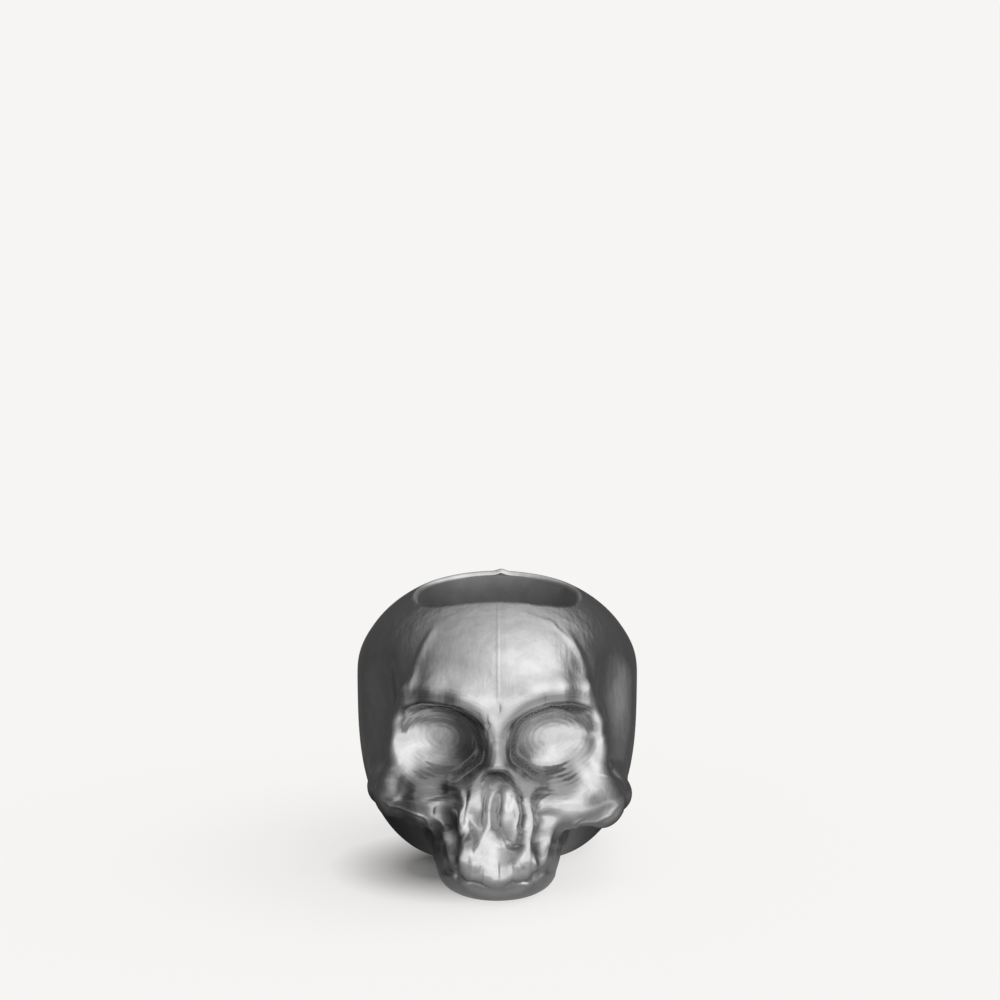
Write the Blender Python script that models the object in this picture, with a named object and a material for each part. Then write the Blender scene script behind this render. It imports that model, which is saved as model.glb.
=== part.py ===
"""Skull candle holder: one moulded piece, hollow from the crown, standing on its upper jaw and its skull base.

The face looks along -Y and +Z is up. The outer skin is the zero level of a blended field of bones and hollows, met
along lines from inside the crown, and its points then slide along it until they are evenly spread. At the opening it
turns over a round lip and runs down the inner wall to the candle floor, so that all of it is one closed surface.
"""

import math

import bpy
import numpy as np

# Crown: the round back and top of the skull
CROWN_HALF_WIDTH = 0.0450
CROWN_HALF_LENGTH = 0.0460
CROWN_CENTRE_Y = 0.0120
CROWN_LEVEL = 0.0569
CROWN_RISE = 0.0333
CROWN_DROP = 0.0600
CROWN_TOP_POWER = 2.05
CROWN_SIDE_POWER = 3.0
CROWN_TURN = 0.0160

# Rounded masses of the face: centre, then half-sizes
FOREHEAD = ((0, -0.0110, 0.0610), (0.0312, 0.0355, 0.0262))
MIDFACE = ((0, -0.0180, 0.0400), (0.0290, 0.0270, 0.0190))
JAW = ((0, -0.0270, 0.0180), (0.0208, 0.0240, 0.0310))
ZYGOMA = ((0.0270, -0.0284, 0.0310), (0.0085, 0.0090, 0.0075))
CONCHA = ((-0.0058, -0.0428, 0.0315), (0.0028, 0.0056, 0.0070))
VOMER = ((0.0030, -0.0418, 0.0280), (0.0044, 0.0066, 0.0088))

# Bars of bone: points, then the radius at each point
CHEEK = (
    ((0.0130, -0.0392, 0.0310), (0.0220, -0.0352, 0.0292), (0.0300, -0.0268, 0.0285),
     (0.0345, -0.0160, 0.0280), (0.0330, -0.0040, 0.0280)),
    (0.0052, 0.0076, 0.0074, 0.0056, 0.0054),
)
ORBIT_SIDE = (
    ((0.0268, -0.0322, 0.0612), (0.0288, -0.0300, 0.0540), (0.0300, -0.0288, 0.0450), (0.0298, -0.0292, 0.0350)),
    (0.0028, 0.0034, 0.0036, 0.0048),
)
BROW = (
    ((0.0040, -0.0418, 0.0600), (0.0110, -0.0415, 0.0632), (0.0185, -0.0390, 0.0642), (0.0250, -0.0345, 0.0624)),
    (0.0034, 0.0036, 0.0034, 0.0028),
)
NOSE = (
    ((0, -0.0400, 0.0600), (0, -0.0432, 0.0510), (0, -0.0462, 0.0440)),
    (0.0036, 0.0024, 0.0040),
)
NOSE_FLANK = (
    ((0.0056, -0.0436, 0.0390), (0.0090, -0.0440, 0.0320), (0.0105, -0.0442, 0.0240), (0.0095, -0.0446, 0.0150)),
    (0.0024, 0.0034, 0.0036, 0.0044),
)

# Hollows: centre, half-sizes, and how softly the edge is rounded
TEMPLE = ((0.0490, -0.0198, 0.0550), (0.0168, 0.0152, 0.0230), 0.006)
ORBIT = ((0.0174, -0.0470, 0.0492), (0.0154, 0.0154, 0.0124), 0.0028)
ORBIT_TURN = 0.385
ORBIT_POWER = 2.15
NOSTRIL = (
    ((0, -0.0500, 0.0372), (0, -0.0515, 0.0300), (0, -0.0545, 0.0205), (0, -0.0568, 0.0150)),
    (0.0052, 0.0084, 0.0080, 0.0066),
)
FOSSA = ((0.0158, -0.0482, 0.0322), (0.0048, 0.0042, 0.0038))
CANINE_GROOVE = (
    ((0.0160, -0.0470, 0.0270), (0.0150, -0.0480, 0.0200), (0.0145, -0.0480, 0.0130)),
    (0.0036, 0.0032, 0.0020),
)
TEETH_GROOVE = (
    ((0, -0.0496, 0.0052), (0.0070, -0.0486, 0.0062), (0.0125, -0.0468, 0.0085), (0.0170, -0.0415, 0.0100)),
    (0.0013, 0.0013, 0.0012, 0.0008),
)
GROOVE_SOFTNESS = 0.0024

# The arch of the cheek on the right sits a little lower than on the left
RIGHT_ARCH_DROP = 0.0022
RIGHT_ARCH_SPREAD = 0.0016

# How softly each mass runs into the rest
FOREHEAD_BLEND = 0.010
MIDFACE_BLEND = 0.010
JAW_BLEND = 0.004
CHEEK_BLEND = 0.005
BROW_BLEND = 0.007
NOSE_BLEND = 0.004
BAR_BLEND = 0.003
CONCHA_BLEND = 0.003

# Opening in the crown, and the candle well under it
OPENING_HALF_WIDTH = 0.0254
OPENING_HALF_LENGTH = 0.0245
OPENING_CENTRE_Y = 0.0085
OPENING_POWER = 2.3
LIP_RADIUS = 0.0013
WELL_FLOOR = 0.0260
WELL_FLOOR_SHARE = 0.90
WELL_CORNER_RADIUS = 0.0030

# Base
FOOT_HALF_WIDTH = 0.0270
FOOT_HALF_LENGTH = 0.0250
FOOT_CENTRE_Y = 0.0150
FOOT_HEIGHT = 0.0050
FOOT_BLEND = 0.0020
BASE_EDGE_RADIUS = 0.0040

# Silver lustre
LUSTRE_COLOUR = (0.50, 0.50, 0.49)
LUSTRE_ROUGHNESS = 0.30

# Grid of the surface: degrees up from the base centre, and rows to get there
RAY_CENTRE_LEVEL = 0.0450
FACE_SETBACK = 0.0250
FACE_TURN = 0.75
COLUMNS = 92
SKIN_BANDS = ((30, 3), (49, 6), (108, 37), (148, 8))
LIP_ROWS = 3
WALL_ROWS = 3
CORNER_ROWS = 4
FRONT_CROWDING = 0.34
MARCH_STEPS = 70
MARCH_SHARE = 0.8
SLIDE_STEPS = 16
SLIDE_SHARE = 0.5
SLOPE_REACH = 0.0001


def smooth(s):
    """Eased step from 0 to 1."""
    s = np.clip(s, 0.0, 1.0)
    return s * s * (3.0 - 2.0 * s)


def join(a, b, reach):
    """Smooth union of two fields, rounded over that reach."""
    h = np.maximum(reach - np.abs(a - b), 0.0) / reach
    return np.minimum(a, b) - h * h * reach * 0.25


def carve(a, b, reach):
    """Takes field b out of field a, with the edge rounded over that reach."""
    return -join(-a, b, reach)


def mass(p, shape, turn=0.0, power=2.0):
    """Distance to an ellipsoid, squarer for a higher power, sheared to go back by turn for each unit across."""
    centre, half = np.array(shape[0]), np.array(shape[1])
    q = p - centre
    q[..., 1] -= turn * q[..., 0]
    q = np.abs(q / half)
    k = (q**power).sum(axis=-1) ** (1 / power)
    g = np.linalg.norm(q ** (power - 1.0) / half, axis=-1)
    return k ** (power - 1.0) * (k - 1.0) / np.maximum(g, 1e-9)


def bars(p, shape, reach):
    """Distance to a chain of tapered round bars."""
    points, radii = np.array(shape[0]), shape[1]
    d = np.full(p.shape[:-1], 1.0)
    for a, b, ra, rb in zip(points, points[1:], radii, radii[1:]):
        run = b - a
        t = np.clip(((p - a) @ run) / (run @ run), 0.0, 1.0)
        away = np.linalg.norm(p - (a + t[..., None] * run), axis=-1)
        d = join(d, away - (ra + (rb - ra) * t), reach)
    return d


def crown(p):
    """Ellipse in plan; round above its widest level, running smoothly into squarer below it."""
    plan = np.hypot(p[..., 0] / CROWN_HALF_WIDTH, (p[..., 1] - CROWN_CENTRE_Y) / CROWN_HALF_LENGTH)
    z = p[..., 2] - CROWN_LEVEL
    share = smooth(0.5 + 0.5 * z / CROWN_TURN)
    power = CROWN_SIDE_POWER + (CROWN_TOP_POWER - CROWN_SIDE_POWER) * share
    height = np.abs(z) / np.where(z > 0, CROWN_RISE, CROWN_DROP)
    return ((plan**power + height**power) ** (1 / power) - 1.0) * CROWN_RISE


def skin(p):
    """Field of the whole outer skin: below zero inside."""
    q = np.stack((np.abs(p[..., 0]), p[..., 1], p[..., 2]), axis=-1)
    d = join(crown(q), mass(q, FOREHEAD), FOREHEAD_BLEND)
    d = carve(d, mass(q, TEMPLE), TEMPLE[2])
    d = join(d, mass(q, MIDFACE), MIDFACE_BLEND)
    d = join(d, mass(q, JAW), JAW_BLEND)
    # The cheekbone and its arch, lower and further out on the right
    side = smooth((p[..., 0] - CHEEK[0][1][0]) / (CHEEK[0][3][0] - CHEEK[0][1][0]))
    lowered = q + side[..., None] * (-RIGHT_ARCH_SPREAD, 0, RIGHT_ARCH_DROP)
    d = join(d, bars(lowered, CHEEK, BAR_BLEND), CHEEK_BLEND)
    d = join(d, mass(lowered, ZYGOMA), CHEEK_BLEND)
    d = join(d, bars(q, ORBIT_SIDE, BAR_BLEND), CHEEK_BLEND)
    d = join(d, bars(q, BROW, BAR_BLEND), BROW_BLEND)
    d = carve(d, mass(q, ORBIT, ORBIT_TURN, ORBIT_POWER), ORBIT[2])
    d = join(d, bars(q, NOSE, BAR_BLEND), NOSE_BLEND)
    d = join(d, bars(q, NOSE_FLANK, BAR_BLEND), BROW_BLEND)
    d = carve(d, mass(q, FOSSA), GROOVE_SOFTNESS)
    d = carve(d, bars(q, CANINE_GROOVE, BAR_BLEND), GROOVE_SOFTNESS)
    d = carve(d, bars(q, TEETH_GROOVE, BAR_BLEND), GROOVE_SOFTNESS)
    d = carve(d, bars(q, NOSTRIL, BAR_BLEND), GROOVE_SOFTNESS)
    d = join(d, mass(p, CONCHA), CONCHA_BLEND)
    d = join(d, mass(p, VOMER), CONCHA_BLEND)
    # Foot at the back, then the flat base with a rounded edge
    plan = np.hypot(p[..., 0] / FOOT_HALF_WIDTH, (p[..., 1] - FOOT_CENTRE_Y) / FOOT_HALF_LENGTH)
    foot = np.maximum((plan - 1.0) * FOOT_HALF_LENGTH, p[..., 2] - FOOT_HEIGHT)
    d = join(d, foot, FOOT_BLEND)
    return carve(d, p[..., 2], BASE_EDGE_RADIUS)


def meet_skin(start, step):
    """Where the lines along step meet the skin, coming in from outside in short steps."""
    t = np.full(step.shape[:-1], 2.0 * (CROWN_HALF_LENGTH + CROWN_CENTRE_Y))
    for _ in range(MARCH_STEPS):
        t = np.maximum(t - MARCH_SHARE * skin(start + step * t[..., None]), 0.0)
    return start + step * t[..., None]


def even_out(grid):
    """Slides the grid's points along the skin, each towards the middle of its four neighbours."""
    corners = np.array(((1, 1, 1), (1, -1, -1), (-1, 1, -1), (-1, -1, 1)))
    for _ in range(SLIDE_STEPS):
        inner = grid[1:-1]
        middle = (np.roll(inner, 1, axis=1) + np.roll(inner, -1, axis=1) + grid[:-2] + grid[2:]) / 4
        inner = inner + SLIDE_SHARE * (middle - inner)
        # Back onto the skin, along its slope
        around = skin(inner[..., None, :] + corners * SLOPE_REACH)
        slope = around @ corners / (4 * SLOPE_REACH)
        off = around.mean(axis=-1) / np.maximum((slope**2).sum(axis=-1), 0.1)
        grid[1:-1] = inner - off[..., None] * slope
    return grid


def surface():
    """Rings of points from the base centre up the skin, over the lip and down to the floor centre."""
    u = 2.0 * np.arange(COLUMNS) / COLUMNS - 1.0
    phi = math.pi * (FRONT_CROWDING * u + (1.0 - FRONT_CROWDING) * u**3)
    out = np.stack((np.sin(phi), -np.cos(phi)), axis=-1)
    opening = (
        np.abs(out[:, 0] / OPENING_HALF_WIDTH) ** OPENING_POWER
        + np.abs(out[:, 1] / OPENING_HALF_LENGTH) ** OPENING_POWER
    ) ** (-1 / OPENING_POWER)

    def ring(radius, level):
        flat = out * radius[:, None] + (0, OPENING_CENTRE_Y)
        return np.column_stack((flat, np.broadcast_to(level, radius.shape)))

    # Straight down onto the skin, where the lip starts
    rim_level = np.full(COLUMNS, CROWN_LEVEL + 2.0 * CROWN_RISE)
    for _ in range(MARCH_STEPS):
        rim_level = rim_level - MARCH_SHARE * skin(ring(opening + LIP_RADIUS, rim_level))
    rim_angle = math.pi - np.arctan2(opening + LIP_RADIUS, rim_level - RAY_CENTRE_LEVEL)

    # From the middle of the skull outwards, row after row from the base up to the rim
    shares = []
    low = 0.0
    for high, rows in SKIN_BANDS:
        shares.extend((low + (high - low) * n / rows) / SKIN_BANDS[-1][0] for n in range(1, rows + 1))
        low = high
    angle = np.array(shares)[:, None] * rim_angle
    aim = np.stack((out[:, 0] * np.sin(angle), out[:, 1] * np.sin(angle), -np.cos(angle)), axis=-1)
    # The lines to the face start further back, so that they look straight into its hollows
    centre = np.array((0, OPENING_CENTRE_Y, RAY_CENTRE_LEVEL))
    start = centre + smooth(-aim[..., 1:2] / FACE_TURN) * (0, FACE_SETBACK, 0)
    step = centre + aim * CROWN_HALF_LENGTH - start
    grid = even_out(meet_skin(start, step / np.linalg.norm(step, axis=-1)[..., None]))
    # The flat of the base is exactly level
    grid[grid[..., 2] < BASE_EDGE_RADIUS * 0.005, 2] = 0.0
    rings = list(grid)
    for n in range(1, LIP_ROWS + 1):
        a = 0.5 * math.pi * n / LIP_ROWS
        rings.append(ring(opening + LIP_RADIUS * (1 - math.sin(a)), rim_level - LIP_RADIUS * (1 - math.cos(a))))
    # Wall, drawn in towards the floor, then the round corner
    wall_foot = WELL_FLOOR + WELL_CORNER_RADIUS
    lip_foot = rim_level - LIP_RADIUS
    for n in range(1, WALL_ROWS + 1):
        s = n / WALL_ROWS
        rings.append(ring(opening * (1 - s + s * WELL_FLOOR_SHARE), lip_foot * (1 - s) + wall_foot * s))
    for n in range(1, CORNER_ROWS + 1):
        a = 0.5 * math.pi * n / CORNER_ROWS
        radius = opening * WELL_FLOOR_SHARE - WELL_CORNER_RADIUS * (1 - math.cos(a))
        rings.append(ring(radius, wall_foot - WELL_CORNER_RADIUS * math.sin(a)))
    return rings


def lustre():
    """Dark silver lustre, satin smooth."""
    material = bpy.data.materials.new("silver_lustre")
    material.use_nodes = True
    shader = material.node_tree.nodes["Principled BSDF"]
    shader.inputs["Base Color"].default_value = (*LUSTRE_COLOUR, 1.0)
    shader.inputs["Metallic"].default_value = 1.0
    shader.inputs["Roughness"].default_value = LUSTRE_ROUGHNESS
    return material


def build():
    rings = surface()
    first = (0, OPENING_CENTRE_Y, 0)
    final = (0, OPENING_CENTRE_Y, WELL_FLOOR)
    points = np.vstack([first, *rings, final])
    # The origin is under the middle of the whole shape
    points[:, :2] -= (points[:, :2].min(axis=0) + points[:, :2].max(axis=0)) / 2
    faces = []
    for c in range(COLUMNS):
        n = (c + 1) % COLUMNS
        faces.append((0, 1 + n, 1 + c))
        for r in range(len(rings) - 1):
            a = 1 + r * COLUMNS
            b = a + COLUMNS
            faces.append((a + c, a + n, b + n, b + c))
        a = len(points) - 1 - COLUMNS
        faces.append((a + c, a + n, len(points) - 1))
    mesh = bpy.data.meshes.new("skull_holder")
    mesh.from_pydata(points, [], faces)
    mesh.update()
    mesh.shade_smooth()
    mesh.materials.append(lustre())
    obj = bpy.data.objects.new("skull_holder", mesh)
    bpy.context.scene.collection.objects.link(obj)
    return obj


def main():
    for obj in list(bpy.data.objects):
        bpy.data.objects.remove(obj)
    build()


main()
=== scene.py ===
# A skull candle holder, moulded in one piece under a dark silver lustre, on a pale table.
import math

import bpy
import numpy as np
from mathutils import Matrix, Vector


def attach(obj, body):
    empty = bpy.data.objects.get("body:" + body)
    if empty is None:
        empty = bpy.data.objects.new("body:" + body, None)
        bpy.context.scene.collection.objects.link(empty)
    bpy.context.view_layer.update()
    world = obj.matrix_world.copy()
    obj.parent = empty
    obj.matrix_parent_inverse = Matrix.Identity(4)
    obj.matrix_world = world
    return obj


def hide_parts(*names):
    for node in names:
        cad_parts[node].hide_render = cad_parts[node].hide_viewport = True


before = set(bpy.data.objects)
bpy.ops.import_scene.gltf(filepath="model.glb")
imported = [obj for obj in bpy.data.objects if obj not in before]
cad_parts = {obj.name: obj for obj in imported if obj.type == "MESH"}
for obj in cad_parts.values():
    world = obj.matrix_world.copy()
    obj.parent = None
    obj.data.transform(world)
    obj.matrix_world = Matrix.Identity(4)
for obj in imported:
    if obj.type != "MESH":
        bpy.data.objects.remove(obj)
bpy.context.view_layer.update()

# The skull is the zero level of a field of blended bones and hollows, in metres, with the face along -y.
# Every size here is the one in the part's own source.
crown = {
    "halfWidth": 0.0450,
    "halfLength": 0.0460,
    "centreY": 0.0120,
    "level": 0.0569,       # height of its widest ring
    "rise": 0.0333,        # from there to the top
    "drop": 0.0600,        # and down to where it would close
    "topPower": 2.05,      # 2 is an ellipse, more is squarer
    "sidePower": 3.0,
    "turn": 0.0160,        # height over which one power runs into the other
}
masses = {                 # centre, half-sizes, how softly it runs into the rest
    "forehead": ((0, -0.0110, 0.0610), (0.0312, 0.0355, 0.0262), 0.010),
    "midface": ((0, -0.0180, 0.0400), (0.0290, 0.0270, 0.0190), 0.010),
    "jaw": ((0, -0.0270, 0.0180), (0.0208, 0.0240, 0.0310), 0.004),
    "zygoma": ((0.0270, -0.0284, 0.0310), (0.0085, 0.0090, 0.0075), 0.005),
    "concha": ((-0.0058, -0.0428, 0.0315), (0.0028, 0.0056, 0.0070), 0.003),
    "vomer": ((0.0030, -0.0418, 0.0280), (0.0044, 0.0066, 0.0088), 0.003),
}
hollows = {                # centre, half-sizes, softness of the edge
    "temple": ((0.0490, -0.0198, 0.0550), (0.0168, 0.0152, 0.0230), 0.006),
    "orbit": ((0.0174, -0.0470, 0.0492), (0.0154, 0.0154, 0.0124), 0.0028),
    "fossa": ((0.0158, -0.0482, 0.0322), (0.0048, 0.0042, 0.0038), 0.0024),
}
orbitTurn = 0.385          # each socket goes back by this for each unit across
orbitPower = 2.15
bones = {                  # points, radius at each point, how softly it runs into the rest
    "cheek": (((0.0130, -0.0392, 0.0310), (0.0220, -0.0352, 0.0292), (0.0300, -0.0268, 0.0285),
               (0.0345, -0.0160, 0.0280), (0.0330, -0.0040, 0.0280)),
              (0.0052, 0.0076, 0.0074, 0.0056, 0.0054), 0.005),
    "orbitSide": (((0.0268, -0.0322, 0.0612), (0.0288, -0.0300, 0.0540), (0.0300, -0.0288, 0.0450),
                   (0.0298, -0.0292, 0.0350)),
                  (0.0028, 0.0034, 0.0036, 0.0048), 0.005),
    "brow": (((0.0040, -0.0418, 0.0600), (0.0110, -0.0415, 0.0632), (0.0185, -0.0390, 0.0642),
              (0.0250, -0.0345, 0.0624)),
             (0.0034, 0.0036, 0.0034, 0.0028), 0.007),
    "nose": (((0, -0.0400, 0.0600), (0, -0.0432, 0.0510), (0, -0.0462, 0.0440)),
             (0.0036, 0.0024, 0.0040), 0.004),
    "noseFlank": (((0.0056, -0.0436, 0.0390), (0.0090, -0.0440, 0.0320), (0.0105, -0.0442, 0.0240),
                   (0.0095, -0.0446, 0.0150)),
                  (0.0024, 0.0034, 0.0036, 0.0044), 0.007),
}
grooves = {                # points, radius at each point, softness of the edge
    "canine": (((0.0160, -0.0470, 0.0270), (0.0150, -0.0480, 0.0200), (0.0145, -0.0480, 0.0130)),
               (0.0036, 0.0032, 0.0020), 0.0024),
    "teeth": (((0, -0.0496, 0.0052), (0.0070, -0.0486, 0.0062), (0.0125, -0.0468, 0.0085),
               (0.0170, -0.0415, 0.0100)),
              (0.0013, 0.0013, 0.0012, 0.0008), 0.0024),
    "nostril": (((0, -0.0500, 0.0372), (0, -0.0515, 0.0300), (0, -0.0545, 0.0205), (0, -0.0568, 0.0150)),
                (0.0052, 0.0084, 0.0080, 0.0066), 0.0024),
}
barBlend = 0.003           # how softly the lengths of one chain run together
frameShift = -0.003654     # the origin is under the middle of the skull, as the solid's is
rightArch = {              # the right cheekbone sags and stands out more
    "drop": 0.0022,
    "spread": 0.0016,
    "from": 0.0220,        # distance off the seam where that starts
    "to": 0.0345,          # and where it is full
}
opening = {
    "halfWidth": 0.0254,
    "halfLength": 0.0245,
    "centreY": 0.0085,
    "power": 2.3,          # 2 is an ellipse, more is squarer
    "lipRadius": 0.0013,
    "floor": 0.0260,       # height of the floor that the candle stands on
    "floorShare": 0.90,    # how wide the floor is, as a share of the opening
    "cornerRadius": 0.0030,
}
foot = {
    "halfWidth": 0.0270,
    "halfLength": 0.0250,
    "centreY": 0.0150,
    "height": 0.0050,
    "blend": 0.0020,
    "edgeRadius": 0.0040,
}
grid = {
    "columns": 92,
    "bands": ((30, 3), (49, 6), (108, 40), (148, 8)),   # degrees up from the base centre, rows
    "lipRows": 10,
    "wallRows": 12,
    "cornerRows": 10,
    "middle": 0.0450,      # height that the lines start from
    "setback": 0.0250,     # how much further back they start where they look into the face
    "turn": 0.75,          # how squarely they look into the face before they start all the way back
    "crowding": 0.34,      # share of the columns' spacing that is kept at the face
    "hops": 70,            # steps that a line takes to the skin
    "hop": 0.8,            # each by this share of the field's value
    "evened": 16,          # rounds of evening out, of the coarse grid
    "evenedFiner": 6,      # and of the finer one
    "settled": 2,          # steps back onto the skin after the cut
    "finer": 4,            # the coarse grid is cut this much finer each way
    "flat": 0.00002,       # what lies lower is on the table
}


def smooth(s):
    # eased step: 3 s^2 - 2 s^3 between 0 and 1
    s = np.clip(s, 0.0, 1.0)
    return s * s * (3.0 - 2.0 * s)


def join(a, b, reach):
    # the smaller of two fields, less a quarter of the reach where they are equal
    h = np.maximum(reach - np.abs(a - b), 0.0) / reach
    return np.minimum(a, b) - h * h * reach * 0.25


def carve(a, b, reach):
    # a without b: the join turned inside out
    return -join(-a, b, reach)


def massField(p, name, turn=0.0, power=2.0):
    # k is the size of the like ellipsoid through the point; the distance is (k - 1) over the slope of k
    centre, half, soft = {**masses, **hollows}[name]
    q = p - np.array(centre)
    q[..., 1] -= turn * q[..., 0]
    q = np.abs(q / np.array(half))
    k = (q**power).sum(axis=-1) ** (1 / power)
    slope = np.linalg.norm(q ** (power - 1.0) / np.array(half), axis=-1)
    return k ** (power - 1.0) * (k - 1.0) / np.maximum(slope, 1e-9), soft


def barField(p, shape):
    # distance to the nearest point of a chain of lines, less a radius that runs evenly along each line
    points = np.array(shape[0])
    d = np.full(p.shape[:-1], 1.0)
    for a, b, ra, rb in zip(points, points[1:], shape[1], shape[1][1:]):
        run = b - a
        t = np.clip(((p - a) @ run) / (run @ run), 0.0, 1.0)
        away = np.linalg.norm(p - (a + t[..., None] * run), axis=-1)
        d = join(d, away - (ra + (rb - ra) * t), barBlend)
    return d, shape[2]


def crownField(p):
    # (plan^n + height^n)^(1/n) - 1, where n eases from the side's power to the top's
    plan = np.hypot(p[..., 0] / crown["halfWidth"], (p[..., 1] - crown["centreY"]) / crown["halfLength"])
    z = p[..., 2] - crown["level"]
    share = smooth(0.5 + 0.5 * z / crown["turn"])
    n = crown["sidePower"] + (crown["topPower"] - crown["sidePower"]) * share
    height = np.abs(z) / np.where(z > 0, crown["rise"], crown["drop"])
    return ((plan**n + height**n) ** (1 / n) - 1.0) * crown["rise"]


def skinField(p):
    # bones joined and hollows carved one after the other, then the foot and the flat base
    q = np.stack((np.abs(p[..., 0]), p[..., 1], p[..., 2]), axis=-1)
    d = join(crownField(q), *massField(q, "forehead"))
    d = carve(d, *massField(q, "temple"))
    d = join(d, *massField(q, "midface"))
    d = join(d, *massField(q, "jaw"))
    side = smooth((p[..., 0] - rightArch["from"]) / (rightArch["to"] - rightArch["from"]))
    lowered = q + side[..., None] * (-rightArch["spread"], 0, rightArch["drop"])
    d = join(d, *barField(lowered, bones["cheek"]))
    d = join(d, *massField(lowered, "zygoma"))
    d = join(d, *barField(q, bones["orbitSide"]))
    d = join(d, *barField(q, bones["brow"]))
    d = carve(d, *massField(q, "orbit", orbitTurn, orbitPower))
    d = join(d, *barField(q, bones["nose"]))
    d = join(d, *barField(q, bones["noseFlank"]))
    d = carve(d, *massField(q, "fossa"))
    for name in ("canine", "teeth", "nostril"):
        d = carve(d, *barField(q, grooves[name]))
    d = join(d, *massField(p, "concha"))
    d = join(d, *massField(p, "vomer"))
    plan = np.hypot(p[..., 0] / foot["halfWidth"], (p[..., 1] - foot["centreY"]) / foot["halfLength"])
    d = join(d, np.maximum((plan - 1.0) * foot["halfLength"], p[..., 2] - foot["height"]), foot["blend"])
    return carve(d, p[..., 2], foot["edgeRadius"])


def backToSkin(p):
    # one step along the slope, by the field's value over the slope squared; also gives the outward direction
    corners = np.array(((1, 1, 1), (1, -1, -1), (-1, 1, -1), (-1, -1, 1)))
    reach = 0.0001
    around = skinField(p[..., None, :] + corners * reach)
    slope = around @ corners / (4 * reach)
    square = np.maximum((slope**2).sum(axis=-1), 0.1)
    return p - (around.mean(axis=-1) / square)[..., None] * slope, slope / np.sqrt(square)[..., None]


def evenOut(rows, steps, share=0.5):
    # each point moves towards the middle of its four neighbours, then back onto the skin
    for _ in range(steps):
        inner = rows[1:-1]
        middle = (np.roll(inner, 1, axis=1) + np.roll(inner, -1, axis=1) + rows[:-2] + rows[2:]) / 4
        rows[1:-1] = backToSkin(inner + share * (middle - inner))[0]
    return rows


def ringAt(out, radius, level):
    # each column's direction times its radius, round the middle of the opening, at the level given
    flat = out * radius[:, None] + (0, opening["centreY"])
    return np.column_stack((flat, np.broadcast_to(level, radius.shape)))


def rimOf(columns):
    # directions crowded at the face by c u + (1 - c) u^3, the opening's outline, |x/a|^n + |y/b|^n = 1, and
    # the skin's height just outside it
    u = 2.0 * np.arange(columns) / columns - 1.0
    phi = math.pi * (grid["crowding"] * u + (1.0 - grid["crowding"]) * u**3)
    out = np.stack((np.sin(phi), -np.cos(phi)), axis=-1)
    n = opening["power"]
    outline = (np.abs(out[:, 0] / opening["halfWidth"]) ** n
               + np.abs(out[:, 1] / opening["halfLength"]) ** n) ** (-1 / n)
    level = np.full(columns, crown["level"] + 2.0 * crown["rise"])
    for _ in range(grid["hops"]):
        level = level - grid["hop"] * skinField(ringAt(out, outline + opening["lipRadius"], level))
    return out, outline, level


def coarseSkin():
    # lines from the middle of the skull, row after row from the base up to the rim, and where each meets the
    # skin from outside, found by hops of a share of the field
    out, outline, level = rimOf(grid["columns"])
    shares = []
    low = 0.0
    for high, rows in grid["bands"]:
        shares.extend((low + (high - low) * n / rows) / grid["bands"][-1][0] for n in range(1, rows + 1))
        low = high
    rimAngle = math.pi - np.arctan2(outline + opening["lipRadius"], level - grid["middle"])
    angle = np.array(shares)[:, None] * rimAngle
    aim = np.stack((out[:, 0] * np.sin(angle), out[:, 1] * np.sin(angle), -np.cos(angle)), axis=-1)
    centre = np.array((0, opening["centreY"], grid["middle"]))
    start = centre + smooth(-aim[..., 1:2] / grid["turn"]) * (0, grid["setback"], 0)
    step = centre + aim * crown["halfLength"] - start
    step = step / np.linalg.norm(step, axis=-1)[..., None]
    t = np.full(angle.shape, 2.0 * (crown["halfLength"] + crown["centreY"]))
    for _ in range(grid["hops"]):
        t = np.maximum(t - grid["hop"] * skinField(start + step * t[..., None]), 0.0)
    return evenOut(start + step * t[..., None], grid["evened"])


def cutFiner(rows, times):
    # a cubic through four neighbours, first along the columns, which close on themselves, then along the rows
    s = np.arange(times)[:, None] / times
    weights = 0.5 * np.hstack((-s + 2 * s**2 - s**3, 2 - 5 * s**2 + 3 * s**3,
                               s + 4 * s**2 - 3 * s**3, s**3 - s**2))
    near = np.stack([np.roll(rows, 1 - k, axis=1) for k in range(4)])
    rows = np.einsum("ck,krnx->rncx", weights, near).reshape(len(rows), -1, 3)
    ends = np.concatenate((2 * rows[:1] - rows[1:2], rows, 2 * rows[-1:] - rows[-2:-1]))
    near = np.stack([ends[k:len(ends) - 3 + k] for k in range(4)])
    finer = np.einsum("ck,krnx->rcnx", weights, near).reshape(-1, rows.shape[1], 3)
    return np.concatenate((finer, rows[-1:]))


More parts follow.
